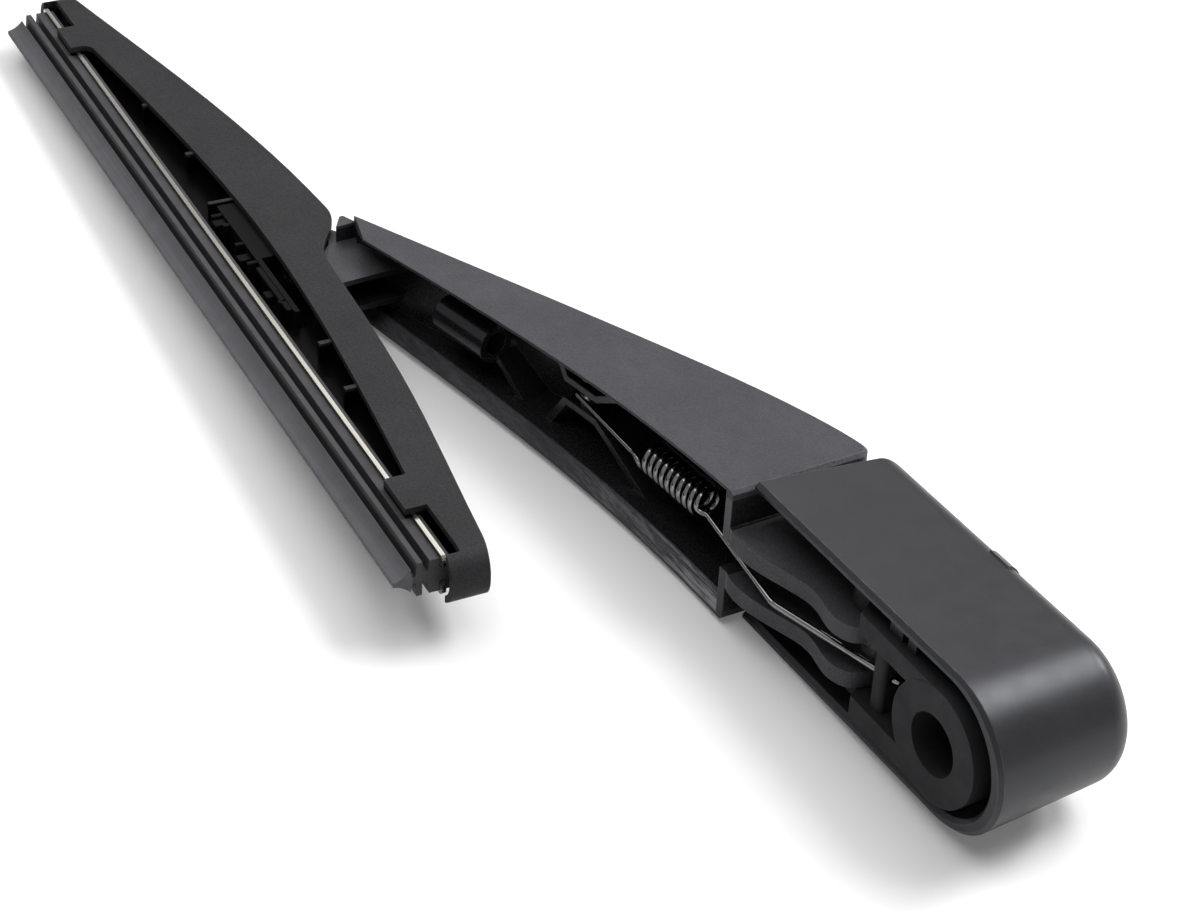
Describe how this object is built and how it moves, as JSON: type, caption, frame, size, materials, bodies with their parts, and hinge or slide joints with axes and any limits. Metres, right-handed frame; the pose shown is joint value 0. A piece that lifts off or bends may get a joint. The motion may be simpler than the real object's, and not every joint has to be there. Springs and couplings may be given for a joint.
{
  "type": "rear window wiper arm",
  "caption": "Rear window wiper arm with clip-on spindle cover, spring-loaded hinged channel arm, and a pivoting blade with a moulded bow, steel strips and rubber.",
  "frame": {"origin": "on the spindle bore's axis, in the plane of the cover's rim", "axes": "+X from the spindle towards the blade, +Y towards the window, +Z along the hinge axes, up when it lies on its side"},
  "size_m": [0.3579, 0.1014, 0.0346],
  "materials": {
    "satin_cover": "satin black moulded plastic",
    "grained_plastic": "fine grained black moulded plastic",
    "head_plastic": "matt black glass filled plastic",
    "bright_steel": "bright drawn steel",
    "dark_steel": "phosphated spring steel",
    "blade_rubber": "matt black rubber"
  },
  "bodies": {
    "head": {"spindle_head": "head_plastic", "hinge_pin": "bright_steel"},
    "cover": {"head_cover": "satin_cover"},
    "arm": {"arm_body": "grained_plastic", "spring_anchor_pin": "bright_steel", "tension_spring": "dark_steel"},
    "blade": {"blade_frame": "grained_plastic", "blade_connector": "head_plastic", "blade_pivot_pin": "bright_steel", "wiper_rubber": "blade_rubber", "upper_steel_strip": "bright_steel", "lower_steel_strip": "bright_steel"}
  },
  "joints": [
    {"name": "arm_hinge", "type": "hinge", "parent": "head", "child": "arm", "pos_m": [0.0315, -0.0085, 0], "axis": [0, 0, -1], "range_deg": [0, 7], "deforming": ["tension_spring"]},
    {"name": "blade_pivot", "type": "hinge", "parent": "arm", "child": "blade", "pos_m": [0.2048, 0.0335, 0], "axis": [0, 0, 1], "range_deg": [-14, 14]},
    {"name": "cover_lift", "type": "slide", "parent": "head", "child": "cover", "axis": [-0.03, -0.9995, 0], "range_m": [0, 0.04]}
  ]
}
